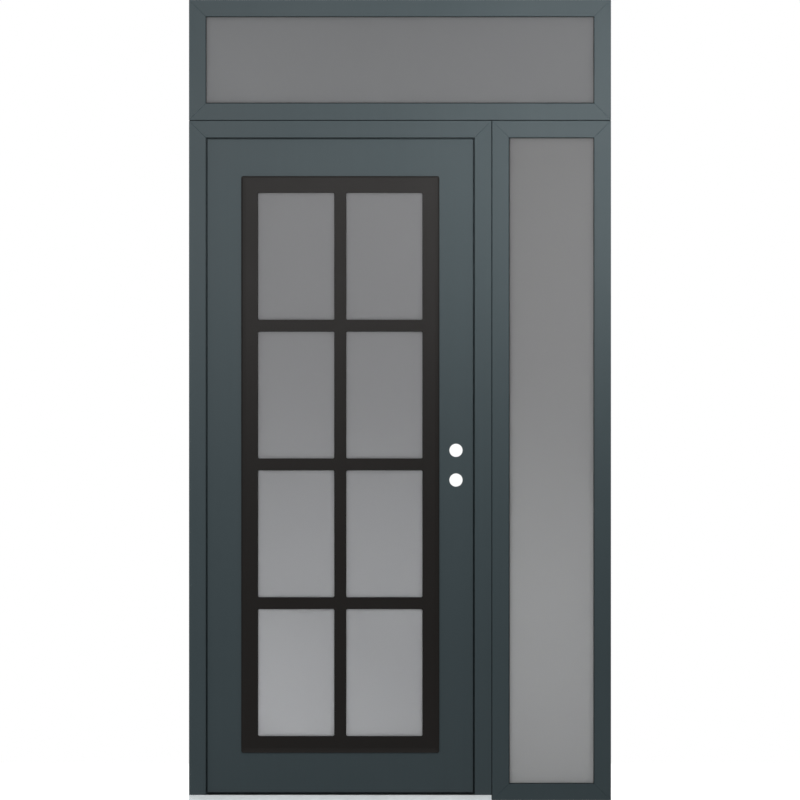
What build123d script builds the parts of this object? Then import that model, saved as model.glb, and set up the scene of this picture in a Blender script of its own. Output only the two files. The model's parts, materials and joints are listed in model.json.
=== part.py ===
from build123d import *
import os

os.makedirs("parts", exist_ok=True)

# Entrance door set: one inward opening leaf, a fixed side light on its right and a fixed
# transom light across the top. X runs to the right as seen from outside, Y runs inwards and
# Z runs up. The origin is on the underside of the threshold, in the middle of the set's
# width and of the frame's depth. All sizes are in millimetres.

# Whole set
set_width = 1307.0
set_height = 2480.0
frame_depth = 85.0
transom_height = 373.0
side_light_width = 368.0
joint_width = 2.0
joint_seal_recess = 1.5

# Section shared by every bar of the three outer frames
frame_face = 52.0
frame_rebate = 20.0
door_lip_depth = 27.0
glazing_lip_depth = 17.0
edge_radius = 1.2
mitre_groove = 1.0
break_width = 30.0
break_thickness = 3.0
break_recess = 0.3

# Threshold
threshold_height = 17.0
threshold_plate = 5.0
groove_width = 3.0
groove_depth = 1.2
groove_count = 3
groove_pitch = 6.5

# Clearances of the leaf in its frame
reveal = 5.0
hinge_side_clearance = 6.0
lock_side_clearance = 8.0
head_clearance = 6.0
foot_clearance = 5.0
bottom_reveal = 8.0
lock_lip_relief = 2.0
seal_thickness = 2.0
seal_width = 12.0
seal_clearance = 5.0
threshold_seal_height = 8.0

# Leaf
leaf_recess = 10.0
skin_thickness = 2.0
lite_side_margin = 105.0
lite_head_margin = 114.5
lite_foot_margin = 122.5
lite_border = 52.0
lite_bar_width = 37.0
lite_columns = 2
lite_rows = 4
lite_thickness = 6.0
lite_edge_bevel = 4.6
lite_edge_drop = 3.6
lite_corner_radius = 6.0
pane_corner_radius = 4.5
lite_overlap = 22.0
lite_return_wall = 8.0

# Glass units
outer_glass = 6.0
inner_glass = 4.0
door_cavity = 24.0
fixed_cavity = 24.0
spacer_width = 7.0
spacer_inset = 4.0
glass_edge_clearance = 5.0
door_glass_clearance = 4.0
gasket_thickness = 3.0
gasket_show = 2.0
gasket_width = 9.0
bead_clearance = 0.3

# Bores for the lever handle and the cylinder
bore_diameter = 41.0
bore_backset = 53.0
bore_spacing = 92.0
cylinder_height = 992.0

# Hinges
hinge_names = ("bottom", "middle", "top")
hinge_height = 120.0
hinge_end_distance = 230.0
knuckle_radius = 9.0
knuckle_lift = 1.0
knuckle_share = 34.5
knuckle_clearance = 0.5
pin_radius = 5.0
pin_clearance = 0.05
pin_head_radius = 7.0
pin_head_height = 3.0
hinge_plate_thickness = 4.0
hinge_plate_width = 20.5
hinge_plate_offset = 10.5
hinge_arm_offset = 2.0

# Places that follow from the sizes above
left = -set_width / 2
right = set_width / 2
front = -frame_depth / 2
back = frame_depth / 2
door_frame_width = set_width - side_light_width - joint_width
door_right = left + door_frame_width
side_left = right - side_light_width
lower_height = set_height - transom_height - joint_width
transom_foot = set_height - transom_height
inner_face = frame_face - frame_rebate
lip_back = front + door_lip_depth
shoulder = lip_back + seal_thickness + seal_clearance

leaf_front = front + leaf_recess
leaf_back = back
core_front = leaf_front + skin_thickness
core_back = leaf_back - skin_thickness
show_left = left + frame_face + reveal
show_right = door_right - frame_face - reveal
show_top = lower_height - frame_face - reveal
show_foot = threshold_height + bottom_reveal
wide_left = left + inner_face + hinge_side_clearance
wide_right = door_right - inner_face - lock_side_clearance
wide_top = lower_height - inner_face - head_clearance
wide_foot = threshold_plate + foot_clearance

lite_width = show_right - show_left - 2 * lite_side_margin
lite_height = show_top - show_foot - lite_head_margin - lite_foot_margin
lite_x = (show_left + show_right) / 2
lite_z = show_foot + lite_foot_margin + lite_height / 2
cut_width = lite_width - 2 * lite_overlap
cut_height = lite_height - 2 * lite_overlap
cut_left = lite_x - cut_width / 2
cut_right = lite_x + cut_width / 2
cut_foot = lite_z - cut_height / 2
cut_top = lite_z + cut_height / 2
pane_width = (lite_width - 2 * lite_border - (lite_columns - 1) * lite_bar_width) / lite_columns
pane_height = (lite_height - 2 * lite_border - (lite_rows - 1) * lite_bar_width) / lite_rows
door_outer_glass_back = leaf_front + outer_glass
door_inner_glass_front = door_outer_glass_back + door_cavity
door_inner_glass_back = door_inner_glass_front + inner_glass

bore_radius = bore_diameter / 2
bore_x = show_right - bore_backset
bore_heights = (cylinder_height, cylinder_height + bore_spacing)

hinge_x = left + inner_face + hinge_side_clearance / 2
hinge_y = back + knuckle_lift + knuckle_radius
first_hinge = wide_foot + hinge_end_distance
last_hinge = wide_top - hinge_end_distance - hinge_height
hinge_pitch = (last_hinge - first_hinge) / (len(hinge_names) - 1)
hinge_feet = [first_hinge + index * hinge_pitch for index in range(len(hinge_names))]


def export(piece, node):
    piece.part.label = node
    export_step(piece.part, f"parts/{node}.step")


def facing(y):
    """Plane that looks outwards at depth y, with X to the right and Z up."""
    return Plane.XZ.offset(-y)


def block(x_limits, y_limits, z_limits, mode=Mode.ADD):
    """Adds or takes away a box between two limits on each axis."""
    sizes = [high - low for low, high in (x_limits, y_limits, z_limits)]
    middle = [(low + high) / 2 for low, high in (x_limits, y_limits, z_limits)]
    with Locations(tuple(middle)):
        Box(*sizes, mode=mode)


# Outer frames


def bar_plane(side, corner_x, corner_z):
    """Section plane of a bar: its x runs inwards, its y runs back, and the bar runs along its z.

    The four bars of a frame follow each other clockwise as seen from outside: the left one
    runs up, the top one to the right, the right one down and the foot one to the left.
    """
    inwards = {"left": (1, 0, 0), "top": (0, 0, -1), "right": (-1, 0, 0), "foot": (0, 0, 1)}
    along = {"left": (0, 0, 1), "top": (1, 0, 0), "right": (0, 0, -1), "foot": (-1, 0, 0)}
    return Plane(origin=(corner_x, front, corner_z), x_dir=inwards[side], z_dir=along[side])


def frame_bar(node, plane, length, lip_depth, mitre_start=True, mitre_end=True, relief=0.0):
    """One frame bar with a front lip, a rebate behind it and a groove for the thermal break."""
    with BuildPart() as bar:
        with BuildSketch(plane):
            with BuildLine():
                Polyline(
                    (0, 0),
                    (frame_face, 0),
                    (frame_face - relief, lip_depth),
                    (inner_face, lip_depth),
                    (inner_face, frame_depth),
                    (0, frame_depth),
                    close=True,
                )
            make_face()
            rebate_corner = vertices().sort_by_distance((inner_face, lip_depth))[0]
            fillet([corner for corner in vertices() if corner != rebate_corner], radius=edge_radius)
            with Locations((0, frame_depth / 2)):
                Rectangle(
                    break_thickness + break_recess,
                    break_width,
                    align=(Align.MIN, Align.CENTER),
                    mode=Mode.SUBTRACT,
                )
        extrude(amount=length)
        mitre_lines = []
        if mitre_start:
            cut = Plane(plane.origin, x_dir=plane.y_dir, z_dir=plane.z_dir - plane.x_dir)
            split(bisect_by=cut, keep=Keep.TOP)
            mitre_lines.append((plane.origin, plane.z_dir + plane.x_dir))
        if mitre_end:
            end = plane.origin + plane.z_dir * length
            cut = Plane(end, x_dir=plane.y_dir, z_dir=plane.z_dir + plane.x_dir)
            split(bisect_by=cut, keep=Keep.BOTTOM)
            mitre_lines.append((end, plane.x_dir - plane.z_dir))
        for corner, run in mitre_lines:
            with BuildSketch(Plane(corner, x_dir=plane.y_dir, z_dir=run)):
                Rectangle(mitre_groove, mitre_groove, rotation=45)
            extrude(amount=frame_face * run.length, mode=Mode.SUBTRACT)
    export(bar, node)


def fixed_light_frame(name, x_min, x_max, z_min, z_max):
    """Four mitred bars round a fixed light."""
    width = x_max - x_min
    height = z_max - z_min
    bars = (
        ("left_stile", "left", x_min, z_min, height),
        ("top_rail", "top", x_min, z_max, width),
        ("right_stile", "right", x_max, z_max, height),
        ("bottom_rail", "foot", x_max, z_min, width),
    )
    for bar_name, side, corner_x, corner_z, length in bars:
        plane = bar_plane(side, corner_x, corner_z)
        frame_bar(f"{name}_{bar_name}", plane, length, glazing_lip_depth)


def door_frame():
    """Two jambs that stand on the threshold and a head mitred between them."""
    jamb_height = lower_height - threshold_height
    hinge_plane = bar_plane("left", left, threshold_height)
    frame_bar("hinge_jamb", hinge_plane, jamb_height, door_lip_depth, mitre_start=False)
    head_plane = bar_plane("top", left, lower_height)
    frame_bar("door_head", head_plane, door_frame_width, door_lip_depth)
    lock_plane = bar_plane("right", door_right, lower_height)
    frame_bar(
        "lock_jamb",
        lock_plane,
        jamb_height,
        door_lip_depth,
        mitre_end=False,
        relief=lock_lip_relief,
    )


def threshold():
    """Low sill with a raised front, which the foot of the leaf closes behind."""
    grooves_middle = front + door_lip_depth / 2
    with BuildPart() as sill:
        with BuildSketch(Plane.YZ.offset(left)):
            with BuildLine():
                Polyline(
                    (front, 0),
                    (back, 0),
                    (back, threshold_plate),
                    (lip_back, threshold_plate),
                    (lip_back, threshold_height),
                    (front, threshold_height),
                    close=True,
                )
            make_face()
            top_corners = vertices().group_by(Axis.Y)[-1]
            fillet(top_corners, radius=edge_radius)
            with Locations((grooves_middle, threshold_height)):
                with GridLocations(groove_pitch, 0, groove_count, 1):
                    Rectangle(
                        groove_width,
                        groove_depth,
                        align=(Align.CENTER, Align.MAX),
                        mode=Mode.SUBTRACT,
                    )
        extrude(amount=door_frame_width)
    export(sill, "threshold")


def threshold_end_blocks():
    """Plastic blocks between the sill's low plate and the foot of each jamb."""
    with BuildPart() as blocks:
        for x_start in (left, door_right - inner_face):
            block(
                (x_start, x_start + inner_face),
                (lip_back, back),
                (threshold_plate, threshold_height),
            )
    export(blocks, "threshold_end_blocks")


def door_seal():
    """Seal strips on the back of the frame's lips and of the sill's raised front."""
    middle = (frame_face + inner_face) / 2
    near = middle - seal_width / 2
    far = middle + seal_width / 2
    depth = (lip_back, lip_back + seal_thickness)
    foot = threshold_height
    head_foot = lower_height - far
    with BuildPart() as seal:
        block((left + near, left + far), depth, (foot, head_foot))
        block((door_right - far, door_right - near), depth, (foot, head_foot))
        block((left + near, door_right - near), depth, (head_foot, lower_height - near))
        block(
            (left + inner_face, door_right - inner_face),
            depth,
            (foot - edge_radius - threshold_seal_height, foot - edge_radius),
        )
    export(seal, "door_seal")


def joint_strips():
    """Dark strips that close the joints between the neighbouring frames."""
    depth = (front + joint_seal_recess, back - joint_seal_recess)
    with BuildPart() as strips:
        block((door_right, side_left), depth, (0, lower_height))
        block((left + joint_seal_recess, right - joint_seal_recess), depth, (lower_height, transom_foot))
    export(strips, "joint_strips")


def thermal_breaks():
    """Plastic strips let into the outer faces of the frames, half way through their depth."""
    depth = (-break_width / 2, break_width / 2)
    inner = break_recess + break_thickness
    closed = ((side_left, right, 0, lower_height), (left, right, transom_foot, set_height))
    with BuildPart() as breaks:
        for x_min, x_max, z_min, z_max in closed:
            width = x_max - x_min
            height = z_max - z_min
            with BuildSketch(facing(depth[1])):
                with Locations(((x_min + x_max) / 2, (z_min + z_max) / 2)):
                    Rectangle(width - 2 * break_recess, height - 2 * break_recess)
                    Rectangle(width - 2 * inner, height - 2 * inner, mode=Mode.SUBTRACT)
            extrude(amount=break_width)
        with BuildSketch(facing(depth[1])):
            with BuildLine():
                Polyline(
                    (left + break_recess, threshold_height),
                    (left + break_recess, lower_height - break_recess),
                    (door_right - break_recess, lower_height - break_recess),
                    (door_right - break_recess, threshold_height),
                    (door_right - inner, threshold_height),
                    (door_right - inner, lower_height - inner),
                    (left + inner, lower_height - inner),
                    (left + inner, threshold_height),
                    close=True,
                )
            make_face()
        extrude(amount=break_width)
    export(breaks, "thermal_breaks")


# Fixed lights


def ring(node, centre, outer_size, border, depths):
    """Closed ring of one section for each pair of depths."""
    with BuildPart() as piece:
        for y_min, y_max in depths:
            with BuildSketch(facing(y_max)):
                with Locations(centre):
                    Rectangle(*outer_size)
                    Rectangle(*(size - 2 * border for size in outer_size), mode=Mode.SUBTRACT)
            extrude(amount=y_max - y_min)
    export(piece, node)


def sheet(node, centre, size, y_min, y_max):
    """Flat upright sheet between two depths."""
    with BuildPart() as piece:
        with BuildSketch(facing(y_max)):
            with Locations(centre):
                Rectangle(*size)
        extrude(amount=y_max - y_min)
    export(piece, node)


def glazing_beads(node, x_min, x_max, z_min, z_max, y_min):
    """Four beads that hold the glass from inside: two upright ones, and two between them."""
    x_seat = (x_min + inner_face, x_max - inner_face)
    z_seat = (z_min + inner_face, z_max - inner_face)
    x_clear = (x_min + frame_face + bead_clearance, x_max - frame_face - bead_clearance)
    depth = (y_min, back)
    with BuildPart() as beads:
        block((x_seat[0], x_seat[0] + frame_rebate), depth, z_seat)
        block((x_seat[1] - frame_rebate, x_seat[1]), depth, z_seat)
        block(x_clear, depth, (z_seat[0], z_seat[0] + frame_rebate))
        block(x_clear, depth, (z_seat[1] - frame_rebate, z_seat[1]))
        inner_edges = beads.edges().filter_by(Axis.Y, reverse=True).group_by(Axis.Y)[-1]
        chamfer(inner_edges, length=edge_radius)
    export(beads, node)


def fixed_light(name, x_min, x_max, z_min, z_max):
    """Frame, glass unit, gaskets and beads of a light that doesn't open."""
    fixed_light_frame(name, x_min, x_max, z_min, z_max)
    centre = ((x_min + x_max) / 2, (z_min + z_max) / 2)
    unit_size = (x_max - x_min, z_max - z_min)
    opening = [size - 2 * frame_face for size in unit_size]
    glass = [size - 2 * (inner_face + glass_edge_clearance) for size in unit_size]
    gasket = [size + 2 * (gasket_width - gasket_show) for size in opening]
    spacer = [size - 2 * spacer_inset for size in glass]
    outer_front = front + glazing_lip_depth + gasket_thickness
    outer_back = outer_front + outer_glass
    inner_front = outer_back + fixed_cavity
    inner_back = inner_front + inner_glass
    bead_front = inner_back + gasket_thickness
    gasket_depths = ((outer_front - gasket_thickness, outer_front), (inner_back, bead_front))
    sheet(f"{name}_outer_glass", centre, glass, outer_front, outer_back)
    sheet(f"{name}_inner_glass", centre, glass, inner_front, inner_back)
    ring(f"{name}_spacer", centre, spacer, spacer_width, ((outer_back, inner_front),))
    ring(f"{name}_gaskets", centre, gasket, gasket_width, gasket_depths)
    glazing_beads(f"{name}_beads", x_min, x_max, z_min, z_max, bead_front)


# Leaf


def leaf_stile(node, wide, show, bored):
    """Upright member of the leaf: a narrow front part, and a wider part that closes on the seal."""
    with BuildPart() as stile:
        block(wide, (shoulder, core_back), (wide_foot, wide_top))
        block(show, (core_front, shoulder), (show_foot, show_top))
        if bored:
            drill_bores(core_back, core_back - core_front)
    export(stile, node)


def leaf_rail(node, wide, show):
    """Level member of the leaf, between the stiles, with the same step in its outer edge."""
    with BuildPart() as rail:
        block((cut_left, cut_right), (shoulder, core_back), wide)
        block((cut_left, cut_right), (core_front, shoulder), show)
    export(rail, node)


def drill_bores(y_start, depth):
    """Takes the two bores out of the piece being built, from depth y_start outwards."""
    for height in bore_heights:
        start = Plane(origin=(bore_x, y_start - depth / 2, height), z_dir=(0, -1, 0))
        with Locations(start):
            Cylinder(bore_radius, depth, mode=Mode.SUBTRACT)


def leaf_skin(node, x_limits, z_limits, y_min, rounded_side):
    """Face sheet of the leaf, with the glazed opening and both bores cut out."""
    centre = (sum(x_limits) / 2, sum(z_limits) / 2)
    with BuildPart() as skin:
        with BuildSketch(facing(y_min + skin_thickness)):
            with Locations(centre):
                Rectangle(x_limits[1] - x_limits[0], z_limits[1] - z_limits[0])
            with Locations((lite_x, lite_z)):
                Rectangle(cut_width, cut_height, mode=Mode.SUBTRACT)
            with Locations(*((bore_x, height) for height in bore_heights)):
                Circle(bore_radius, mode=Mode.SUBTRACT)
        extrude(amount=skin_thickness)
        shown_face = skin.faces().sort_by(Axis.Y)[rounded_side]
        fillet(shown_face.outer_wire().edges(), radius=edge_radius)
    export(skin, node)


def lite_panes(mode=Mode.SUBTRACT):
    """Takes the rows and columns of panes out of the sketch being drawn."""
    pitch_x = pane_width + lite_bar_width
    pitch_z = pane_height + lite_bar_width
    with Locations((lite_x, lite_z)):
        with GridLocations(pitch_x, pitch_z, lite_columns, lite_rows):
            RectangleRounded(pane_width, pane_height, pane_corner_radius, mode=mode)


def outer_lite_frame():
    """Raised plate with a bevelled outer edge and the bars between the panes."""
    with BuildPart() as plate:
        with BuildSketch(facing(leaf_front)):
            with Locations((lite_x, lite_z)):
                RectangleRounded(lite_width, lite_height, lite_corner_radius)
            lite_panes()
        extrude(amount=lite_thickness)
        face = plate.faces().sort_by(Axis.Y)[0]
        chamfer(face.outer_wire().edges(), length=lite_edge_drop, length2=lite_edge_bevel)
    export(plate, "outer_lite_frame")


def inner_lite_frame():
    """Room side plate, a return that reaches in to the glass, and bars that lie on the glass."""
    return_outer = (cut_width - 2 * door_glass_clearance, cut_height - 2 * door_glass_clearance)
    return_inner = [size - 2 * lite_return_wall for size in return_outer]
    with BuildPart() as plate:
        with BuildSketch(facing(leaf_back + lite_thickness)):
            with Locations((lite_x, lite_z)):
                RectangleRounded(lite_width, lite_height, lite_corner_radius)
                Rectangle(*return_inner, mode=Mode.SUBTRACT)
        extrude(amount=lite_thickness)
        face = plate.faces().sort_by(Axis.Y)[-1]
        chamfer(face.outer_wire().edges(), length=lite_edge_drop)
        with BuildSketch(facing(leaf_back)):
            with Locations((lite_x, lite_z)):
                Rectangle(*return_outer)
                Rectangle(*return_inner, mode=Mode.SUBTRACT)
        extrude(amount=leaf_back - door_inner_glass_back)
        with BuildSketch(facing(door_inner_glass_back + lite_thickness)):
            with Locations((lite_x, lite_z)):
                Rectangle(*return_outer)
            lite_panes()
        extrude(amount=lite_thickness)
    export(plate, "inner_lite_frame")


def leaf_glass():
    """Frosted outer glass, clear inner glass and the spacer between them."""
    centre = (lite_x, lite_z)
    size = (cut_width - 2 * door_glass_clearance, cut_height - 2 * door_glass_clearance)
    spacer = [length - 2 * spacer_inset for length in size]
    cavity = (door_outer_glass_back, door_inner_glass_front)
    sheet("leaf_outer_glass", centre, size, leaf_front, door_outer_glass_back)
    sheet("leaf_inner_glass", centre, size, door_inner_glass_front, door_inner_glass_back)
    ring("leaf_spacer", centre, spacer, spacer_width, (cavity,))


def door_leaf():
    leaf_stile("leaf_hinge_stile", (wide_left, cut_left), (show_left, cut_left), False)
    leaf_stile("leaf_lock_stile", (cut_right, wide_right), (cut_right, show_right), True)
    leaf_rail("leaf_top_rail", (cut_top, wide_top), (cut_top, show_top))
    leaf_rail("leaf_bottom_rail", (wide_foot, cut_foot), (show_foot, cut_foot))
    leaf_skin("leaf_outer_skin", (show_left, show_right), (show_foot, show_top), leaf_front, 0)
    leaf_skin("leaf_inner_skin", (wide_left, wide_right), (wide_foot, wide_top), core_back, -1)
    outer_lite_frame()
    inner_lite_frame()
    leaf_glass()


# Hinges


def hinge_half(node, foot, side, knuckles):
    """Plate on the room side face, with arms that carry one or more knuckles.

    side is -1 for the half on the jamb and +1 for the half on the leaf, and knuckles holds
    the lowest and highest point of each knuckle above the hinge's foot.
    """
    plate_near = hinge_x + side * hinge_plate_offset
    plate_far = plate_near + side * hinge_plate_width
    arm_near = hinge_x + side * hinge_arm_offset
    depth = (back, back + hinge_plate_thickness)
    with BuildPart() as half:
        block(sorted((plate_near, plate_far)), depth, (foot, foot + hinge_height))
        plate_edges = half.edges().filter_by(Axis.Y)
        fillet(plate_edges, radius=edge_radius)
        for low, high in knuckles:
            block(sorted((arm_near, plate_near)), depth, (foot + low, foot + high))
            with BuildSketch(Plane.XY.offset(foot + low)):
                with Locations((hinge_x, hinge_y)):
                    Circle(knuckle_radius)
            extrude(amount=high - low)
            with BuildSketch(Plane.XY.offset(foot + low)):
                with Locations((hinge_x, hinge_y)):
                    Circle(pin_radius + pin_clearance)
            extrude(amount=high - low, mode=Mode.SUBTRACT)
    export(half, node)


def hinges():
    end_knuckles = ((0, knuckle_share), (hinge_height - knuckle_share, hinge_height))
    middle_low = knuckle_share + knuckle_clearance
    middle_knuckle = ((middle_low, hinge_height - middle_low),)
    for name, foot in zip(hinge_names, hinge_feet):
        hinge_half(f"{name}_hinge_jamb_half", foot, -1, end_knuckles)
        hinge_half(f"{name}_hinge_leaf_half", foot, 1, middle_knuckle)


def hinge_pins():
    """One pin in each hinge, with a head above and below its knuckles."""
    with BuildPart() as pins:
        for foot in hinge_feet:
            solids = (
                (foot - pin_head_height, pin_head_height, pin_head_radius),
                (foot, hinge_height, pin_radius),
                (foot + hinge_height, pin_head_height, pin_head_radius),
            )
            for start, length, radius in solids:
                with BuildSketch(Plane.XY.offset(start)):
                    with Locations((hinge_x, hinge_y)):
                        Circle(radius)
                extrude(amount=length)
    export(pins, "hinge_pins")


door_frame()
threshold()
threshold_end_blocks()
door_seal()
joint_strips()
thermal_breaks()
fixed_light("side_light", side_left, right, 0, lower_height)
fixed_light("transom", left, right, transom_foot, set_height)
door_leaf()
hinges()
hinge_pins()
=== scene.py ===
import json
import math

import bmesh
import bpy
from mathutils import Matrix, Vector


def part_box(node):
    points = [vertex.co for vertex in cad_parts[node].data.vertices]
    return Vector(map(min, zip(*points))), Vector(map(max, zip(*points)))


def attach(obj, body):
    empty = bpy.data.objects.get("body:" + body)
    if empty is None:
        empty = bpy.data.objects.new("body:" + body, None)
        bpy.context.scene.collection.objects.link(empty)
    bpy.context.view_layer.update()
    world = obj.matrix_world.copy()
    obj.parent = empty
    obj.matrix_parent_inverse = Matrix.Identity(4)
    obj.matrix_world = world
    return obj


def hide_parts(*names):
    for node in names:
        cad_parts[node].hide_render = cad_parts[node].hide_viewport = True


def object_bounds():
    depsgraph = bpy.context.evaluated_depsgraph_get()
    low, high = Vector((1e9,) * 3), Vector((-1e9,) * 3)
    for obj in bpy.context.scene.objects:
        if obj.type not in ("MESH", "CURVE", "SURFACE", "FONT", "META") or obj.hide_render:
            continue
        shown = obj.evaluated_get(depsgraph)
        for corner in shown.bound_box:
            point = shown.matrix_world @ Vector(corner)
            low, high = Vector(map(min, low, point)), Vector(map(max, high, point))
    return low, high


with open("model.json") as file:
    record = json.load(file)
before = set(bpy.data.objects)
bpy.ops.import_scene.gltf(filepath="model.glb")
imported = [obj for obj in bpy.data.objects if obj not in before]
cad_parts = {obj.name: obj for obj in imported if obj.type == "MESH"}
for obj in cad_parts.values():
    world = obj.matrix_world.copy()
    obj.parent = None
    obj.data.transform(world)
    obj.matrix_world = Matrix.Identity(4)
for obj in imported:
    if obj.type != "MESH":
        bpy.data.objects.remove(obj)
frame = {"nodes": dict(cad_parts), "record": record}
cad_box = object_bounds()
nodes = frame["nodes"]

MM = 0.001
FULL_TURN = math.radians(360.0)


# Places on the object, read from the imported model

set_low, set_high = cad_box
front_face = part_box("transom_top_rail")[0].y
wide_low, wide_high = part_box("leaf_inner_skin")
lite_low, lite_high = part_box("outer_lite_frame")
room_lite_low, room_lite_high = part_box("inner_lite_frame")
sill_low, sill_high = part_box("threshold")
seal_low, seal_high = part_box("door_seal")
pin_low, pin_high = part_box("hinge_pins")
hinge_names = ("bottom_hinge", "middle_hinge", "top_hinge")

rebate_inset = seal_low.x - sill_low.x
rebate_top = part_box("door_head")[1].z - rebate_inset
rebate_back = sill_high.y


# Shader building


def add_node(tree, kind, inputs=None, **settings):
    """Shader node with its settings, and with its inputs set or linked."""
    made = tree.nodes.new(kind)
    for name, value in settings.items():
        setattr(made, name, value)
    for name, value in (inputs or {}).items():
        if isinstance(value, bpy.types.NodeSocket):
            tree.links.new(value, made.inputs[name])
        else:
            made.inputs[name].default_value = value
    return made


def maths(tree, operation, first, second=0.0, third=0.0):
    """Result of one Math node."""
    inputs = {0: first, 1: second, 2: third}
    return add_node(tree, "ShaderNodeMath", inputs, operation=operation).outputs[0]


def times(tree, first, second):
    """Product of two values."""
    return maths(tree, "MULTIPLY", first, second)


def more(tree, value, amount, base):
    """Base value with some amount of another added."""
    return maths(tree, "MULTIPLY_ADD", value, amount, base)


def blend(tree, kind, socket_type, factor, first, second):
    """Mix node of one kind, which has sockets of the same names for every kind."""
    mixer = add_node(tree, "ShaderNodeMix", {"Factor": factor}, data_type=kind)
    for name, value in (("A", first), ("B", second)):
        socket = next(s for s in mixer.inputs if s.name == name and s.type == socket_type)
        if isinstance(value, bpy.types.NodeSocket):
            tree.links.new(value, socket)
        else:
            socket.default_value = value
    return next(s for s in mixer.outputs if s.type == socket_type)


def blend_colours(tree, factor, first, second):
    """Colour between two others."""
    return blend(tree, "RGBA", "RGBA", factor, first, second)


def blend_values(tree, factor, first, second):
    """Value between two others."""
    return blend(tree, "FLOAT", "VALUE", factor, first, second)


def ramp(tree, value, low, high, to_low=0.0, to_high=1.0, smooth=True):
    """Value carried from one range to another, and held at its ends."""
    inputs = {
        "Value": value,
        "From Min": low,
        "From Max": high,
        "To Min": to_low,
        "To Max": to_high,
    }
    step = "SMOOTHSTEP" if smooth else "LINEAR"
    return add_node(tree, "ShaderNodeMapRange", inputs, interpolation_type=step).outputs["Result"]


def noise(tree, place, scale, detail=2.0, roughness=0.5):
    """Noise value between about 0 and 1."""
    inputs = {"Vector": place, "Scale": scale, "Detail": detail, "Roughness": roughness}
    return add_node(tree, "ShaderNodeTexNoise", inputs).outputs["Fac"]


def stretched(tree, place, scale):
    """Place scaled by a different amount along each axis."""
    inputs = {"Vector": place, "Scale": scale}
    return add_node(tree, "ShaderNodeMapping", inputs).outputs["Vector"]


def axes(tree, place):
    """A place's X, Y and Z sockets, by name."""
    return add_node(tree, "ShaderNodeSeparateXYZ", {0: place}).outputs


def scaled_colour(tree, colour, factor):
    """Colour made lighter or darker by a factor."""
    inputs = {0: colour, "Scale": factor}
    return add_node(tree, "ShaderNodeVectorMath", inputs, operation="SCALE").outputs["Vector"]


def shader_group(name, inputs, outputs):
    """Empty node group with named sockets, and its input and output nodes."""
    tree = bpy.data.node_groups.new(name, "ShaderNodeTree")
    new_socket = tree.interface.new_socket
    for label, kind, value in inputs:
        socket = new_socket(label, in_out="INPUT", socket_type=f"NodeSocket{kind}")
        socket.default_value = value
    for label, kind in outputs:
        new_socket(label, in_out="OUTPUT", socket_type=f"NodeSocket{kind}")
    given = add_node(tree, "NodeGroupInput").outputs
    made = add_node(tree, "NodeGroupOutput").inputs
    return tree, given, made


def object_place(tree):
    """Place on the object, in metres."""
    return add_node(tree, "ShaderNodeTexCoord").outputs["Object"]


def off_middle(tree, value):
    """Noise value moved so that it runs either side of zero."""
    return maths(tree, "SUBTRACT", value, 0.5)


FINISH_OUTPUTS = (("Colour", "Color"), ("Roughness", "Float"), ("Height", "Float"))


def powder_coat_group():
    """Powder coat: faint clouds and runs, fine fleck, a painted highlight on the arrises and the
    film's dimples.
    """
    tree, given, made = shader_group(
        "powder_coat",
        (
            ("Colour", "Color", (0.1, 0.1, 0.1, 1.0)),
            ("Clouding", "Float", 0.05),
            ("Fleck", "Float", 0.08),
            ("Roughness", "Float", 0.4),
            ("Arris Painted Highlight", "Float", 0.1),
        ),
        FINISH_OUTPUTS,
    )
    cloud_scale, fleck_scale, dimple_scale = 3.5, 900.0, 420.0
    run_scales = (55.0, 55.0, 1.1)
    arris_radius = 1.6 * MM
    flat, turned = 0.985, 0.86
    cloud_roughness, arris_roughness = 0.12, -0.08

    place = object_place(tree)
    clouds = off_middle(tree, noise(tree, place, cloud_scale, 3.0))
    runs = off_middle(tree, noise(tree, stretched(tree, place, run_scales), 1.0, 2.0))
    fleck = off_middle(tree, noise(tree, place, fleck_scale, 1.0))
    dimples = noise(tree, place, dimple_scale, 2.0, 0.4)
    rounded = add_node(tree, "ShaderNodeBevel", {"Radius": arris_radius}, samples=4)
    normals = {
        0: rounded.outputs["Normal"],
        1: add_node(tree, "ShaderNodeNewGeometry").outputs["Normal"],
    }
    turn = add_node(tree, "ShaderNodeVectorMath", normals, operation="DOT_PRODUCT")
    patchy = ramp(tree, clouds, -0.35, 0.1, 0.5, 1.0)
    arris = times(tree, ramp(tree, turn.outputs["Value"], flat, turned), patchy)
    shade = more(tree, maths(tree, "ADD", clouds, runs), given["Clouding"], 1.0)
    shade = more(tree, fleck, given["Fleck"], shade)
    # Painted highlight: the colour is made lighter, in patches, along rounded edges where the
    # Bevel normal turns away.
    shade = more(tree, arris, given["Arris Painted Highlight"], shade)
    rough = more(tree, clouds, cloud_roughness, given["Roughness"])
    rough = more(tree, arris, arris_roughness, rough)
    tree.links.new(scaled_colour(tree, given["Colour"], shade), made["Colour"])
    tree.links.new(rough, made["Roughness"])
    tree.links.new(dimples, made["Height"])
    return tree


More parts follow.
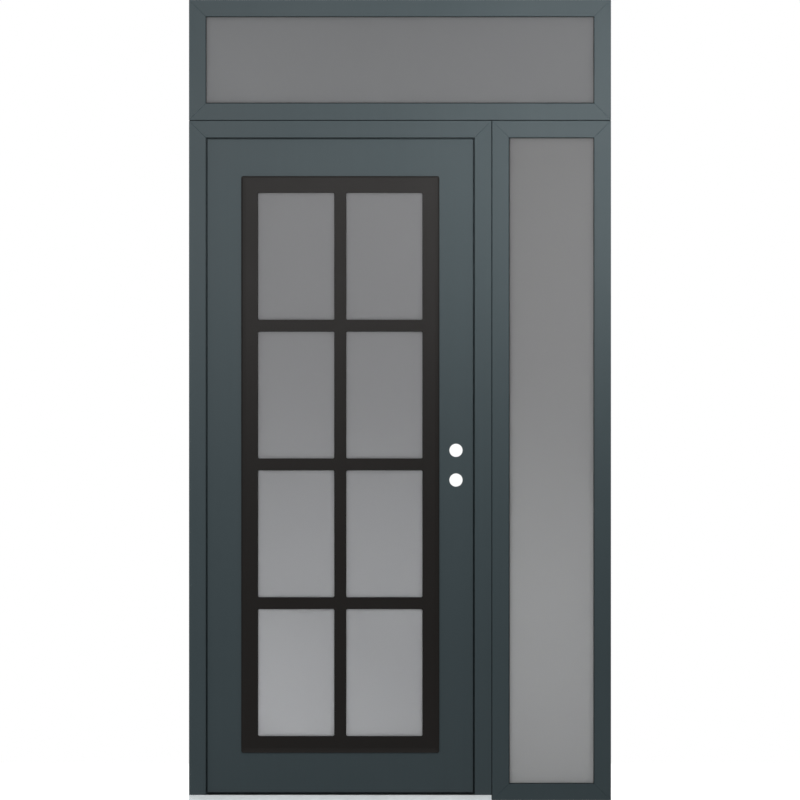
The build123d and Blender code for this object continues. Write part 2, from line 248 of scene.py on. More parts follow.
def etched_glass_group():
    """Acid etched face with an even bloom and a very fine grain, and painted light that makes it
    paler towards one end.
    """
    tree, given, made = shader_group(
        "etched_glass",
        (
            ("Pale Colour", "Color", (0.6, 0.6, 0.6, 1.0)),
            ("Middle Colour", "Color", (0.3, 0.3, 0.3, 1.0)),
            ("Deep Colour", "Color", (0.2, 0.2, 0.2, 1.0)),
            ("Pale Height", "Float", 0.0),
            ("Middle Height", "Float", 1.0),
            ("Deep Height", "Float", 2.0),
            ("Lean", "Float", 0.3),
            ("Grain", "Float", 0.03),
        ),
        FINISH_OUTPUTS,
    )
    bloom_scale, grain_scale = 2.2, 2600.0
    bloom_shade, bloom_roughness, etched_roughness = 0.02, 0.06, 0.52

    place = object_place(tree)
    apart = axes(tree, place)
    # Painted light: the colour runs from the pale tone through the middle to the deep tone with
    # height, leaning sideways.
    height = more(tree, apart["X"], given["Lean"], apart["Z"])
    to_middle = ramp(tree, height, given["Pale Height"], given["Middle Height"], smooth=False)
    to_deep = ramp(tree, height, given["Middle Height"], given["Deep Height"], smooth=False)
    paler = blend_colours(tree, to_middle, given["Pale Colour"], given["Middle Colour"])
    colour = blend_colours(tree, to_deep, paler, given["Deep Colour"])
    bloom = off_middle(tree, noise(tree, place, bloom_scale, 2.0))
    grain = noise(tree, place, grain_scale, 1.0)
    shade = more(tree, off_middle(tree, grain), given["Grain"], 1.0)
    shade = more(tree, bloom, bloom_shade, shade)
    tree.links.new(scaled_colour(tree, colour, shade), made["Colour"])
    tree.links.new(more(tree, bloom, bloom_roughness, etched_roughness), made["Roughness"])
    tree.links.new(grain, made["Height"])
    return tree


def brushed_group():
    """Brushed metal: fine lines that run along one axis, over broad uneven patches."""
    tree, given, made = shader_group(
        "brushed_lines",
        (
            ("Colour", "Color", (0.5, 0.5, 0.5, 1.0)),
            ("Line Scale", "Vector", (4.0, 900.0, 900.0)),
            ("Contrast", "Float", 0.15),
            ("Roughness", "Float", 0.35),
        ),
        FINISH_OUTPUTS,
    )
    patch_scale, patch_shade, uneven_roughness = 9.0, 0.08, 0.18

    place = object_place(tree)
    inputs = {0: place, 1: given["Line Scale"]}
    along = add_node(tree, "ShaderNodeVectorMath", inputs, operation="MULTIPLY").outputs["Vector"]
    lines = noise(tree, along, 1.0, 3.0, 0.7)
    off_line = off_middle(tree, lines)
    patches = off_middle(tree, noise(tree, place, patch_scale, 3.0))
    shade = more(tree, off_line, given["Contrast"], 1.0)
    shade = more(tree, patches, patch_shade, shade)
    uneven = maths(tree, "ADD", off_line, patches)
    rough = more(tree, uneven, uneven_roughness, given["Roughness"])
    tree.links.new(scaled_colour(tree, given["Colour"], shade), made["Colour"])
    tree.links.new(rough, made["Roughness"])
    tree.links.new(lines, made["Height"])
    return tree


POWDER_COAT = powder_coat_group()
ETCHED_GLASS = etched_glass_group()
BRUSHED_LINES = brushed_group()


def new_material(name):
    """Empty material, its tree, and its Principled shader wired to the output."""
    material = bpy.data.materials.new(name)
    material.use_nodes = True
    tree = material.node_tree
    tree.nodes.clear()
    shader = add_node(tree, "ShaderNodeBsdfPrincipled")
    add_node(tree, "ShaderNodeOutputMaterial", {"Surface": shader.outputs["BSDF"]})
    return material, tree, shader


def set_shader(tree, shader, colour, roughness, height, depth, **plain):
    """Feeds a shader's colour, roughness and relief, and sets its plain values."""
    tree.links.new(colour, shader.inputs["Base Color"])
    tree.links.new(roughness, shader.inputs["Roughness"])
    relief = add_node(tree, "ShaderNodeBump", {"Height": height, "Distance": depth})
    tree.links.new(relief.outputs["Normal"], shader.inputs["Normal"])
    for name, value in plain.items():
        shader.inputs[name.replace("_", " ")].default_value = value


def grouped_material(name, group, values, depth, **plain):
    """Material whose colour, roughness and relief come from one group."""
    material, tree, shader = new_material(name)
    effect = add_node(tree, "ShaderNodeGroup", values, node_tree=group).outputs
    finish = (effect["Colour"], effect["Roughness"], effect["Height"])
    set_shader(tree, shader, *finish, depth, **plain)
    return material


COAT_BLUE_GREY = (0.0670, 0.0950, 0.1055, 1.0)
COAT_BLACK = (0.0155, 0.0130, 0.0115, 1.0)


def coat(name, colour, roughness, specular, arris_painted_highlight):
    """Powder coat of one colour and gloss."""
    values = {
        "Colour": colour,
        "Clouding": 0.06,
        "Fleck": 0.10,
        "Roughness": roughness,
        "Arris Painted Highlight": arris_painted_highlight,
    }
    dimple_depth = 0.04 * MM
    return grouped_material(name, POWDER_COAT, values, dimple_depth, Specular_IOR_Level=specular)


GLASS_IOR = 1.5


def clear_glass_material():
    """Float glass with a faint green cast and a few wiping marks."""
    clean, smeared = (0.90, 0.94, 0.92, 1.0), (0.87, 0.90, 0.89, 1.0)
    wipe_scales = (6.0, 6.0, 2.0)
    mark_depth = 0.002 * MM

    material, tree, shader = new_material("clear_glass")
    place = object_place(tree)
    wiped = noise(tree, stretched(tree, place, wipe_scales), 1.0, 4.0, 0.6)
    colour = blend_colours(tree, ramp(tree, wiped, 0.55, 0.75), clean, smeared)
    rough = ramp(tree, wiped, 0.5, 0.8, 0.02, 0.10)
    glass = {"Transmission_Weight": 1.0, "IOR": GLASS_IOR}
    set_shader(tree, shader, colour, rough, wiped, mark_depth, **glass)
    return material


def spacer_material():
    """Mill finished spacer bar with two rows of breathing holes."""
    dull, bright = (0.42, 0.43, 0.44, 1.0), (0.55, 0.56, 0.57, 1.0)
    hole_shade_colour = (0.03, 0.03, 0.03, 1.0)
    half_pitch_along, half_pitch_across = 2.0 * MM, 3.0 * MM
    hole_depth = 0.2 * MM

    material, tree, shader = new_material("spacer_metal")
    place = object_place(tree)
    apart = axes(tree, place)
    run = maths(tree, "ADD", apart["X"], apart["Z"])
    along = maths(tree, "PINGPONG", run, half_pitch_along)
    across = maths(tree, "PINGPONG", apart["Y"], half_pitch_across)
    near_along = ramp(tree, along, 0.5 * MM, 0.9 * MM, 1.0, 0.0)
    near_across = ramp(tree, across, 0.4 * MM, 0.8 * MM, 1.0, 0.0)
    hole = times(tree, near_along, near_across)
    cloud = noise(tree, place, 30.0, 3.0)
    metal = blend_colours(tree, cloud, dull, bright)
    # Painted shade: the breathing holes are painted as dark dots, besides their shallow bump.
    colour = blend_colours(tree, hole, metal, hole_shade_colour)
    rough = ramp(tree, cloud, 0.3, 0.7, 0.30, 0.42)
    surface = maths(tree, "SUBTRACT", 1.0, hole)
    set_shader(tree, shader, colour, rough, surface, hole_depth, Metallic=1.0)
    return material


def rubber_material():
    """Black rubber with a matt bloom and fine pores."""
    fresh, bloomed = (0.0055, 0.0055, 0.006, 1.0), (0.012, 0.012, 0.0125, 1.0)
    pore_depth = 0.05 * MM

    material, tree, shader = new_material("seal_rubber")
    place = object_place(tree)
    bloom = noise(tree, place, 14.0, 4.0, 0.6)
    pores = noise(tree, place, 1400.0, 2.0)
    colour = blend_colours(tree, ramp(tree, bloom, 0.35, 0.75), fresh, bloomed)
    rough = ramp(tree, bloom, 0.3, 0.7, 0.58, 0.74)
    set_shader(tree, shader, colour, rough, pores, pore_depth, Specular_IOR_Level=0.12)
    return material


def plastic_material():
    """Glass filled black plastic, drawn with fine ribs along its length."""
    resin, glass_fibre = (0.010, 0.010, 0.011, 1.0), (0.024, 0.024, 0.025, 1.0)
    half_rib = 1.5 * MM
    rib_depth = 0.25 * MM
    fibre_scales = (160.0, 900.0, 160.0)

    material, tree, shader = new_material("break_plastic")
    place = object_place(tree)
    across = maths(tree, "PINGPONG", axes(tree, place)["Y"], half_rib)
    ribs = ramp(tree, across, 0.3 * MM, 1.1 * MM)
    fibre = noise(tree, stretched(tree, place, fibre_scales), 1.0, 3.0, 0.6)
    colour = blend_colours(tree, ramp(tree, fibre, 0.45, 0.8), resin, glass_fibre)
    rough = ramp(tree, fibre, 0.3, 0.7, 0.50, 0.66)
    height = more(tree, fibre, 0.15, ribs)
    set_shader(tree, shader, colour, rough, height, rib_depth, Specular_IOR_Level=0.4)
    return material


def sill_material():
    """Brushed, clear anodised sill, darker and rougher in patches in its grooves and lower faces,
    and only faintly on the low plate behind the seal.
    """
    anodised, groove_dark_colour = (0.90, 0.955, 0.97, 1.0), (0.16, 0.15, 0.13, 1.0)
    groove_floor = sill_high.z - 1.2 * MM
    on_low_plate = 0.18
    line_depth = 0.02 * MM

    material, tree, shader = new_material("sill_metal")
    place = object_place(tree)
    brush = {
        "Colour": anodised,
        "Line Scale": (5.0, 1100.0, 1100.0),
        "Contrast": 0.10,
        "Roughness": 0.42,
    }
    brushed = add_node(tree, "ShaderNodeGroup", brush, node_tree=BRUSHED_LINES).outputs
    apart = axes(tree, place)
    low, high = groove_floor + 0.1 * MM, sill_high.z - 0.1 * MM
    in_groove = ramp(tree, apart["Z"], low, high, 1.0, 0.0)
    behind_face = ramp(tree, apart["Y"], sill_low.y + 2.0 * MM, sill_low.y + 4.0 * MM)
    on_plate = ramp(tree, apart["Y"], seal_low.y - 1.0 * MM, seal_low.y, 1.0, on_low_plate)
    groove_patches = ramp(tree, noise(tree, place, 40.0, 4.0, 0.6), 0.3, 0.65, 0.35, 0.9)
    # Darker in patches wherever the sill lies below its top face, except at its front face.
    groove_darkening = times(tree, times(tree, times(tree, in_groove, behind_face), on_plate), groove_patches)
    colour = blend_colours(tree, groove_darkening, brushed["Colour"], groove_dark_colour)
    rough = blend_values(tree, groove_darkening, brushed["Roughness"], 0.8)
    set_shader(tree, shader, colour, rough, brushed["Height"], line_depth, Metallic=0.85)
    return material


GLASS_TRANSMISSION = 0.6


def frosted_glass(name, painted_light_tones, heights, lean, tint):
    """Etched glass whose three tones of painted light lie at three heights, leaning to one side.
    """
    values = {"Lean": lean, "Grain": 0.03}
    for label, tone, height in zip(("Pale", "Middle", "Deep"), painted_light_tones, heights):
        values[f"{label} Colour"] = tuple(tone * share for share in tint) + (1.0,)
        values[f"{label} Height"] = height
    glass = {"Transmission_Weight": GLASS_TRANSMISSION, "IOR": GLASS_IOR}
    return grouped_material(name, ETCHED_GLASS, values, 0.01 * MM, **glass)


# The door, side light and transom each have their own copy of the glass, whose tones are painted
# light for that pane.
leaf_frosting = frosted_glass(
    "frosted_glass",
    painted_light_tones=(0.443, 0.352, 0.292),
    heights=(0.03, 0.42, 1.85),
    lean=0.6,
    tint=(1.012, 1.0, 1.042),
)
side_frosting = frosted_glass(
    "side_light_frosted_glass",
    painted_light_tones=(0.355, 0.320, 0.237),
    heights=(-0.05, 1.15, 1.85),
    lean=-0.3,
    tint=(1.015, 1.0, 1.022),
)
transom_frosting = frosted_glass(
    "transom_frosted_glass",
    painted_light_tones=(0.271, 0.236, 0.221),
    heights=(1.75, 2.3, 2.65),
    lean=1.0,
    tint=(1.0, 1.0, 1.043),
)
pin_steel = grouped_material(
    "pin_steel",
    BRUSHED_LINES,
    {
        "Colour": (0.52, 0.52, 0.53, 1.0),
        "Line Scale": (70.0, 70.0, 1500.0),
        "Contrast": 0.2,
        "Roughness": 0.30,
    },
    0.01 * MM,
    Metallic=1.0,
)

FINISHES = {
    "frame_coat": coat("frame_powder_coat", COAT_BLUE_GREY, 0.42, 0.25, 0.30),
    "leaf_coat": coat("leaf_powder_coat", COAT_BLUE_GREY, 0.42, 0.25, 0.30),
    "black_coat": coat("black_satin_coat", COAT_BLACK, 0.42, 0.22, 0.10),
    "hinge_coat": coat("hinge_powder_coat", COAT_BLUE_GREY, 0.38, 0.2, 0.30),
    "frosted_glass": leaf_frosting,
    "clear_glass": clear_glass_material(),
    "spacer_metal": spacer_material(),
    "seal_rubber": rubber_material(),
    "sill_metal": sill_material(),
    "break_plastic": plastic_material(),
    "pin_steel": pin_steel,
}
for part in frame["record"]["subparts"]:
    mesh = nodes[part["node"]].data
    mesh.materials.clear()
    mesh.materials.append(FINISHES[part["material_slot"]])
nodes["side_light_outer_glass"].data.materials[0] = side_frosting
nodes["transom_outer_glass"].data.materials[0] = transom_frosting


# Piece building


def finish_piece(shape, name, body, slot, replaced=()):
    """Makes a closed shape into a named piece that rides on a body, with its finish."""
    bmesh.ops.remove_doubles(shape, verts=shape.verts, dist=0.001 * MM)
    bmesh.ops.recalc_face_normals(shape, faces=shape.faces)
    mesh = bpy.data.meshes.new(name)
    shape.to_mesh(mesh)
    shape.free()
    mesh.materials.append(FINISHES[slot])
    piece = bpy.data.objects.new(name, mesh)
    bpy.context.scene.collection.objects.link(piece)
    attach(piece, body)
    if replaced:
        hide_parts(*replaced)
    return piece


def upright_loop(shape, centre, width, height, depth, radius=0.0, segments=5):
    """Edges of an upright rectangle at one depth, with rounded corners where it has a radius."""
    old_verts, old_edges = set(shape.verts), set(shape.edges)
    corners = bmesh.ops.create_grid(shape, x_segments=1, y_segments=1, size=0.5)["verts"]
    bmesh.ops.scale(shape, vec=(width, height, 1.0), verts=corners)
    if radius:
        bmesh.ops.bevel(
            shape,
            geom=corners,
            affect="VERTICES",
            offset=radius,
            segments=segments,
            profile=0.5,
            material=-1,
        )
    verts = [vert for vert in shape.verts if vert not in old_verts]
    filled = {face for vert in verts for face in vert.link_faces}
    bmesh.ops.delete(shape, geom=list(filled), context="FACES_ONLY")
    upright = Matrix.Rotation(FULL_TURN / 4, 3, "X")
    bmesh.ops.rotate(shape, verts=verts, cent=(0.0, 0.0, 0.0), matrix=upright)
    bmesh.ops.translate(shape, verts=verts, vec=(centre.x, depth, centre.z))
    return [edge for edge in shape.edges if edge not in old_edges]


def closed_ring(shape, low, high, section):
    """Ring round a rectangle, from steps inwards and depths in millimetres."""
    centre = (low + high) / 2
    loops = []
    for inset, depth in section:
        width = high.x - low.x - 2 * inset * MM
        height = high.z - low.z - 2 * inset * MM
        loops.append(upright_loop(shape, centre, width, height, depth * MM))
    for near, far in zip(loops, loops[1:] + loops[:1]):
        bmesh.ops.bridge_loops(shape, edges=near + far)


def sleeve(shape, centre, width, height, steps):
    """Sleeve of rounded rectangles, from steps outwards, depths and corner radii."""
    loops = [
        upright_loop(shape, centre, width + 2 * wider, height + 2 * wider, depth, radius)
        for wider, depth, radius in steps
    ]
    for near, far in zip(loops, loops[1:]):
        bmesh.ops.bridge_loops(shape, edges=near + far)
    return loops


def cut_below(shape, height):
    """Takes away what lies below a height, and closes the cut."""
    geometry = list(shape.verts) + list(shape.edges) + list(shape.faces)
    cut = bmesh.ops.bisect_plane(
        shape,
        geom=geometry,
        dist=0.0001 * MM,
        plane_co=(0.0, 0.0, height),
        plane_no=(0.0, 0.0, 1.0),
        clear_inner=True,
    )
    edges = [item for item in cut["geom_cut"] if isinstance(item, bmesh.types.BMEdge)]
    bmesh.ops.holes_fill(shape, edges=edges, sides=0)


def level_circle(shape, radius, height, sides=24):
    """Edges of a level circle with as many sides as given."""
    old_edges = set(shape.edges)
    verts = bmesh.ops.create_circle(shape, cap_ends=False, segments=sides, radius=radius)["verts"]
    bmesh.ops.translate(shape, verts=verts, vec=(0.0, 0.0, height))
    return [edge for edge in shape.edges if edge not in old_edges]


SOCKET_RIM, SOCKET_FLOOR, SOCKET_TAPER = 0.96, 0.12, 0.92


def turned_head(radius, height, steps, socket=0.0):
    """Mesh of a small round head on the origin, with a hexagon socket if it has one."""
    shape = bmesh.new()
    loops = [level_circle(shape, radius * reach, height * rise) for reach, rise in steps]
    if socket:
        width = radius * socket
        loops.append(level_circle(shape, width, height * SOCKET_RIM, sides=6))
        loops.append(level_circle(shape, width * SOCKET_TAPER, height * SOCKET_FLOOR, sides=6))
    for near, far in zip(loops, loops[1:]):
        bmesh.ops.bridge_loops(shape, edges=near + far)
    for rim in (loops[0], loops[-1]):
        bmesh.ops.triangle_fill(shape, use_beauty=True, edges=rim)
    bmesh.ops.recalc_face_normals(shape, faces=shape.faces)
    mesh = bpy.data.meshes.new("head")
    shape.to_mesh(mesh)
    shape.free()
    return mesh


def place_heads(name, body, slot, head, places):
    """One piece of the same head at many places, each a point and the way that it looks."""
    shape = bmesh.new()
    count = len(head.vertices)
    for place, outwards in places:
        shape.from_mesh(head)
        shape.verts.ensure_lookup_table()
        verts = shape.verts[-count:]
        turn = Vector(outwards).to_track_quat("Z", "Y").to_matrix()
        bmesh.ops.rotate(shape, verts=verts, cent=(0.0, 0.0, 0.0), matrix=turn)
        bmesh.ops.translate(shape, verts=verts, vec=place)
    bpy.data.meshes.remove(head)
    finish_piece(shape, name, body, slot)


SCREW_STEPS = ((1.0, -0.1), (1.0, 0.25), (0.93, 0.55), (0.76, 0.85), (0.55, 1.0))
SCREW_SOCKET = 0.46
CAP_STEPS = ((1.0, -0.2), (1.0, 0.4), (0.93, 0.85), (0.80, 1.0))


def screw_head(radius, height):
    """Head of a socket screw, from sizes in millimetres."""
    return turned_head(radius * MM, height * MM, SCREW_STEPS, SCREW_SOCKET)


def spread(low, high, count):
    """Evenly spaced places from one end to the other."""
    return [low + (high - low) * index / (count - 1) for index in range(count)]


# Pieces


# The sections are points in millimetres: across the piece, then its height or depth.
LITE_BORDER = 52.0 * MM
LITE_BAR = 37.0 * MM
LITE_COLUMNS = 2
LITE_ROWS = 4
LITE_CORNER = 6.0 * MM
LITE_RIM = ((0.0, 0.0), (0.0, 3.4), (0.5, 4.2), (4.6, 5.2), (14.0, 6.0))
PANE_CORNER = 4.5 * MM
PANE_EDGE = ((1.2, 6.0), (0.6, 5.84), (0.16, 5.4), (0.0, 4.8), (0.0, 0.0))
SEAL_SECTION = (
    (0.0, 0.0),
    (0.0, 0.6),
    (0.5, 1.5),
    (1.1, 1.9),
    (1.5, 1.7),
    (2.0, 0.8),
    (4.2, 0.7),
    (4.6, 1.5),
    (5.3, 1.9),
    (6.0, 2.0),
    (6.7, 1.9),
    (7.4, 1.5),
    (7.8, 0.7),
    (10.0, 0.8),
    (10.5, 1.7),
    (10.9, 1.9),
    (11.5, 1.5),
    (12.0, 0.6),
    (12.0, 0.1),
)
SEAL_BEAD = ((0.0, 0.0), (2.0, 0.5), (3.2, 1.9), (4.8, 1.9), (6.0, 0.5), (8.0, 0.0))
RIBBED_STRIP = (
    (0.0, 2.0),
    (0.35, 2.0),
    (0.35, 9.0),
    (0.1, 9.3),
    (0.1, 14.7),
    (0.35, 15.0),
    (0.35, 22.0),
    (0.0, 22.0),
)
PIN_HEAD = (
    (0.0, -3.0),
    (4.6, -3.0),
    (5.9, -2.6),
    (6.7, -1.7),
    (7.0, -0.8),
    (7.0, 0.0),
    (5.0, 0.0),
)
INTO_ROOM, UPWARDS, DOWNWARDS = (0.0, 1.0, 0.0), (0.0, 0.0, 1.0), (0.0, 0.0, -1.0)
LEFTWARDS, RIGHTWARDS = (-1.0, 0.0, 0.0), (1.0, 0.0, 0.0)


def lite_moulding():
    """Black frame and bars round the eight panes: a sloped rim, and rounded edges at the glass."""
    shape = bmesh.new()
    centre = (lite_low + lite_high) / 2
    width = lite_high.x - lite_low.x
    height = lite_high.z - lite_low.z
    back = lite_high.y - 0.02 * MM
    rim = [(-inset * MM, back - rise * MM, LITE_CORNER) for inset, rise in LITE_RIM]
    outer = sleeve(shape, centre, width, height, rim)
    front_edges, back_edges = list(outer[-1]), list(outer[0])
    pane_width = (width - 2 * LITE_BORDER - (LITE_COLUMNS - 1) * LITE_BAR) / LITE_COLUMNS
    pane_height = (height - 2 * LITE_BORDER - (LITE_ROWS - 1) * LITE_BAR) / LITE_ROWS
    edge = [(out * MM, back - rise * MM, PANE_CORNER + out * MM) for out, rise in PANE_EDGE]
    for column in range(LITE_COLUMNS):
        for row in range(LITE_ROWS):
            across = (column - (LITE_COLUMNS - 1) / 2) * (pane_width + LITE_BAR)
            up = (row - (LITE_ROWS - 1) / 2) * (pane_height + LITE_BAR)
            pane_centre = centre + Vector((across, 0.0, up))
            pane = sleeve(shape, pane_centre, pane_width, pane_height, edge)
            front_edges += pane[0]
            back_edges += pane[-1]
    bmesh.ops.triangle_fill(shape, use_beauty=True, edges=front_edges)
    bmesh.ops.triangle_fill(shape, use_beauty=True, edges=back_edges)
    finish_piece(shape, "lite_moulding", "door_leaf", "black_coat", ("outer_lite_frame",))


def weather_seal():
    """Seal round the doorway: a base with a lip at each edge and a bulb between them."""
    edge_inset = 4.0 * MM
    below_sill = 60.0 * MM
    bead_above = 8.0 * MM

    shape = bmesh.new()
    section = [(inset, seal_low.y / MM + rise) for inset, rise in SEAL_SECTION]
    low = Vector((seal_low.x + edge_inset, 0.0, sill_high.z - below_sill))
    high = Vector((seal_high.x - edge_inset, 0.0, rebate_top - edge_inset))
    closed_ring(shape, low, high, section)
    cut_below(shape, sill_high.z)

    bead_top = seal_low.z + bead_above
    verts = [
        shape.verts.new((seal_low.x, seal_low.y + rise * MM, bead_top - down * MM))
        for down, rise in SEAL_BEAD
    ]
    profile = shape.faces.new(verts)
    pushed = bmesh.ops.extrude_face_region(shape, geom=[profile])["geom"]
    moved = [item for item in pushed if isinstance(item, bmesh.types.BMVert)]
    bmesh.ops.translate(shape, verts=moved, vec=(seal_high.x - seal_low.x, 0.0, 0.0))
    finish_piece(shape, "weather_seal", "frame", "seal_rubber", ("door_seal",))


def edge_strips():
    """Black plastic strips along the middle of the doorway's reveals and of the leaf's edges."""
    below_sill = 60.0 * MM
    above_foot = 2.0 * MM

    shape = bmesh.new()
    low = Vector((seal_low.x, 0.0, sill_low.z - below_sill))
    high = Vector((seal_high.x, 0.0, rebate_top))
    closed_ring(shape, low, high, RIBBED_STRIP)
    cut_below(shape, sill_high.z)
    finish_piece(shape, "reveal_strips", "frame", "break_plastic")

    shape = bmesh.new()
    outwards = [(-inset, depth) for inset, depth in RIBBED_STRIP]
    closed_ring(shape, wide_low, wide_high, outwards)
    cut_below(shape, wide_low.z + above_foot)
    finish_piece(shape, "leaf_edge_strips", "door_leaf", "break_plastic")


def hinge_screws():
    """Three screws in each hinge plate."""
    from_axis = 20.75 * MM
    from_end = 17.0 * MM
    plate = 4.0 * MM
    axis_x = (pin_low.x + pin_high.x) / 2
    for side, body, way in (("jamb", "frame", -1), ("leaf", "door_leaf", 1)):
        x = axis_x + way * from_axis
        places = []
        for name in hinge_names:
            low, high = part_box(f"{name}_{side}_half")
            for height in spread(low.z + from_end, high.z - from_end, 3):
                places.append(((x, rebate_back + plate, height), INTO_ROOM))
        place_heads(f"hinge_{side}_screws", body, "pin_steel", screw_head(4.6, 1.3), places)


def room_lite_screws():
    """Screws that hold the room side frame, round its border."""
    inset = 18.0 * MM
    low, high = room_lite_low, room_lite_high
    sides = (low.x + inset, high.x - inset)
    ends = (low.z + inset, high.z - inset)
    points = [(x, high.y, height) for height in spread(*ends, 7) for x in sides]
    points += [(x, high.y, height) for x in spread(*sides, 4)[1:-1] for height in ends]
    places = [(point, INTO_ROOM) for point in points]
    place_heads("room_lite_screws", "door_leaf", "black_coat", screw_head(3.4, 1.1), places)


def sill_screws():
    """Screws through the sill's low plate."""
    from_jamb = 60.0 * MM
    depth, plate_top = 13.0 * MM, 5.0 * MM
    xs = spread(seal_low.x + from_jamb, seal_high.x - from_jamb, 4)
    places = [((x, depth, plate_top), UPWARDS) for x in xs]
    place_heads("sill_screws", "frame", "pin_steel", screw_head(4.0, 0.8), places)


def fixing_caps():
    """Cover caps over the frame's fixings, in the doorway's reveals."""
    depth = 32.0 * MM
    from_sill = 130.0 * MM
    from_corner = 150.0 * MM
    places = []
    for height in spread(sill_high.z + from_sill, rebate_top - from_corner, 4):
        places.append(((seal_low.x, depth, height), RIGHTWARDS))
        places.append(((seal_high.x, depth, height), LEFTWARDS))
    for x in spread(seal_low.x + from_corner, seal_high.x - from_corner, 3):
        places.append(((x, depth, rebate_top), DOWNWARDS))
    cap = turned_head(6.0 * MM, 0.8 * MM, CAP_STEPS)
    place_heads("fixing_caps", "frame", "frame_coat", cap, places)


def turned_pins():
    """Hinge pins with rounded heads, each turned in one piece."""
    shape = bmesh.new()
    axis_x = (pin_low.x + pin_high.x) / 2
    axis_y = (pin_low.y + pin_high.y) / 2
    for name in hinge_names:
        low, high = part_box(f"{name}_jamb_half")
        outline = [(reach, low.z + rise * MM) for reach, rise in PIN_HEAD]
        outline += [(reach, high.z - rise * MM) for reach, rise in reversed(PIN_HEAD)]
        verts = [
            shape.verts.new((axis_x + reach * MM, axis_y, height)) for reach, height in outline
        ]
        edges = [shape.edges.new(pair) for pair in zip(verts, verts[1:])]
        bmesh.ops.spin(
            shape,
            geom=verts + edges,
            cent=(axis_x, axis_y, 0.0),
            axis=(0.0, 0.0, 1.0),
            angle=FULL_TURN,
            steps=32,
            use_merge=True,
        )
    finish_piece(shape, "turned_hinge_pins", "frame", "pin_steel", ("hinge_pins",))


lite_moulding()
weather_seal()
edge_strips()
hinge_screws()
room_lite_screws()
sill_screws()
fixing_caps()
turned_pins()


# Studio


ROOM_LIGHT = 0.34
FRONT_GLOSS = 0.02
FLOOR_SIZE = 12.0
FLOOR_GREY = 0.60
FLOOR_SHADE, SHADE_REACH = 0.72, 0.30
FLOOR_GLOSS_NEAR, FLOOR_GLOSS, GLOSS_REACH = 1.0, 0.65, 0.25
WHITE = (1.0, 1.0, 1.0, 1.0)


def softbox(name, place, target, size, power, spread_angle, glossy=True, through_glass=True):
    """Lamp that faces a target and isn't seen by the camera."""
    lamp = bpy.data.lights.new(name, "AREA")
    lamp.shape = "RECTANGLE"
    lamp.size, lamp.size_y = size
    lamp.energy = power
    lamp.spread = math.radians(spread_angle)
    holder = bpy.data.objects.new(name, lamp)
    bpy.context.scene.collection.objects.link(holder)
    holder.location = place
    facing = Vector(target) - Vector(place)
    holder.rotation_euler = facing.to_track_quat("-Z", "Y").to_euler()
    holder.visible_camera = False
    holder.visible_glossy = glossy
    holder.visible_transmission = through_glass


softbox(
    "left_softbox",
    place=(-0.5, -2.2, 1.9),
    target=(-0.5, 0.0, 1.9),
    size=(1.2, 1.2),
    power=11.9,
    spread_angle=180.0,
)
softbox(
    "right_softbox",
    place=(0.9, -2.2, 2.1),
    target=(0.9, 0.0, 2.1),
    size=(1.2, 1.2),
    power=3.0,
    spread_angle=60.0,
)
softbox(
    "high_softbox",
    place=(-0.2, -3.5, 3.2),
    target=(-0.2, 0.0, 3.2),
    size=(2.0, 2.0),
    power=10.5,
    spread_angle=120.0,
)
softbox(
    "room_softbox",
    place=(-0.9, 2.6, 2.3),
    target=(0.0, 0.0, 1.2),
    size=(1.6, 1.6),
    power=16.0,
    spread_angle=100.0,
    glossy=False,
    through_glass=False,
)
softbox(
    "room_low_softbox",
    place=(0.05, 2.0, 0.52),
    target=(0.05, 0.0, 0.52),
    size=(2.2, 1.0),
    power=6.4,
    spread_angle=140.0,
    glossy=False,
)


def seen_directly(tree, rays):
    """One where the eye, or the eye through glass, looks straight at the surface."""
    return maths(tree, "MAXIMUM", rays["Is Camera Ray"], rays["Is Transmission Ray"])


def studio_world():
    """White backdrop, with a dim room on the front side for gloss and an even fill."""
    world = bpy.data.worlds.new("studio")
    bpy.context.scene.world = world
    world.use_nodes = True
    tree = world.node_tree
    tree.nodes.clear()
    rays = add_node(tree, "ShaderNodeLightPath").outputs
    direction = add_node(tree, "ShaderNodeTexCoord").outputs["Generated"]
    gloss = ramp(tree, axes(tree, direction)["Y"], -0.1, 0.2, FRONT_GLOSS, 1.0)
    strength = blend_values(tree, rays["Is Glossy Ray"], ROOM_LIGHT, gloss)
    strength = blend_values(tree, seen_directly(tree, rays), strength, 1.0)
    sky = add_node(tree, "ShaderNodeBackground", {"Color": WHITE, "Strength": strength})
    add_node(tree, "ShaderNodeOutputWorld", {"Surface": sky.outputs[0]})


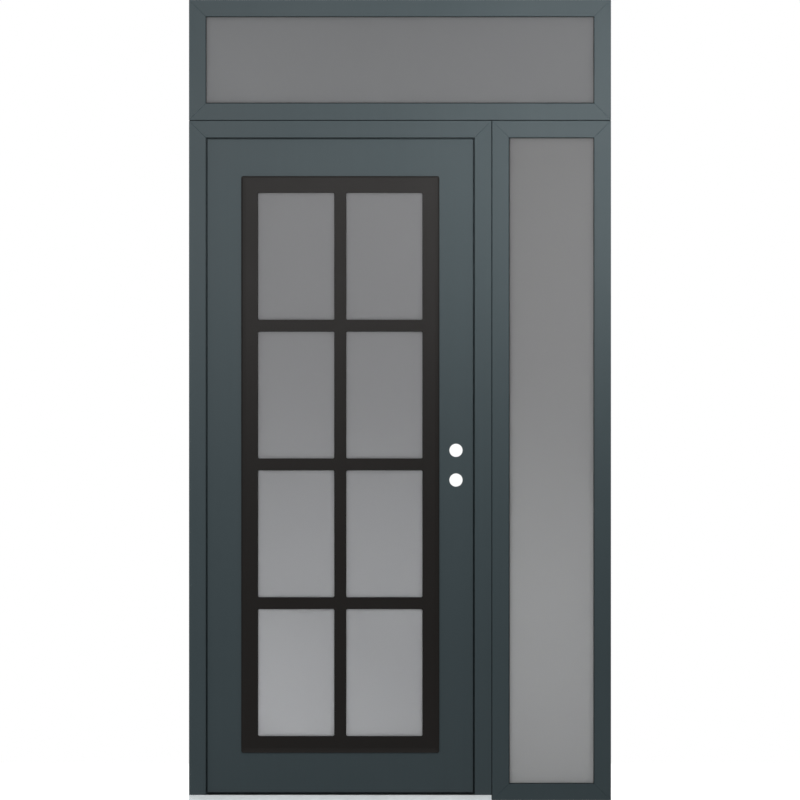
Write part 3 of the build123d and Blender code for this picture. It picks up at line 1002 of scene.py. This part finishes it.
def studio_floor():
    """Pale floor, white to the camera away from the object, and shaded close to it."""
    just_below = 0.5 * MM
    shape = bmesh.new()
    bmesh.ops.create_grid(shape, x_segments=1, y_segments=1, size=FLOOR_SIZE / 2)
    bmesh.ops.translate(shape, verts=shape.verts, vec=(0.0, 0.0, set_low.z - just_below))
    mesh = bpy.data.meshes.new("studio_floor")
    shape.to_mesh(mesh)
    shape.free()
    floor = bpy.data.objects.new("studio_floor", mesh)
    bpy.context.scene.collection.objects.link(floor)

    material, tree, shader = new_material("studio_floor")
    shader.inputs["Base Color"].default_value = (FLOOR_GREY, FLOOR_GREY, FLOOR_GREY, 1.0)
    shader.inputs["Roughness"].default_value = 0.9
    shader.inputs["Specular IOR Level"].default_value = 0.1
    apart = axes(tree, object_place(tree))
    squares = []
    for axis, reach in (("X", set_high.x), ("Y", set_high.y)):
        beyond = maths(tree, "SUBTRACT", maths(tree, "ABSOLUTE", apart[axis]), reach)
        squares.append(maths(tree, "POWER", maths(tree, "MAXIMUM", beyond, 0.0), 2.0))
    away = maths(tree, "SQRT", maths(tree, "ADD", *squares))
    glow = ramp(tree, away, 0.0, SHADE_REACH, FLOOR_SHADE, 1.0)
    gloss = ramp(tree, away, 0.0, GLOSS_REACH, FLOOR_GLOSS_NEAR, FLOOR_GLOSS)
    rays = add_node(tree, "ShaderNodeLightPath").outputs
    glossy = times(tree, rays["Is Glossy Ray"], gloss)
    strength = blend_values(tree, seen_directly(tree, rays), glossy, glow)
    shader.inputs["Emission Color"].default_value = WHITE
    tree.links.new(strength, shader.inputs["Emission Strength"])
    mesh.materials.append(material)


CAMERA_DISTANCE = 60.0
SENSOR_WIDTH = 36.0
CLOSENESS = 1.0009


def studio_camera():
    """Camera square on to the front, far enough away to show no perspective."""
    height = set_high.z - set_low.z
    camera = bpy.data.cameras.new("camera")
    camera.sensor_width = SENSOR_WIDTH
    camera.lens = SENSOR_WIDTH * CAMERA_DISTANCE / height * CLOSENESS
    camera.clip_start = 1.0
    camera.clip_end = 200.0
    viewer = bpy.data.objects.new("camera", camera)
    bpy.context.scene.collection.objects.link(viewer)
    viewer.location = (0.0, front_face - CAMERA_DISTANCE, set_low.z + height / 2)
    viewer.rotation_euler = (FULL_TURN / 4, 0.0, 0.0)
    bpy.context.scene.camera = viewer


studio_world()
studio_floor()
studio_camera()
bpy.context.scene.view_settings.view_transform = "Standard"
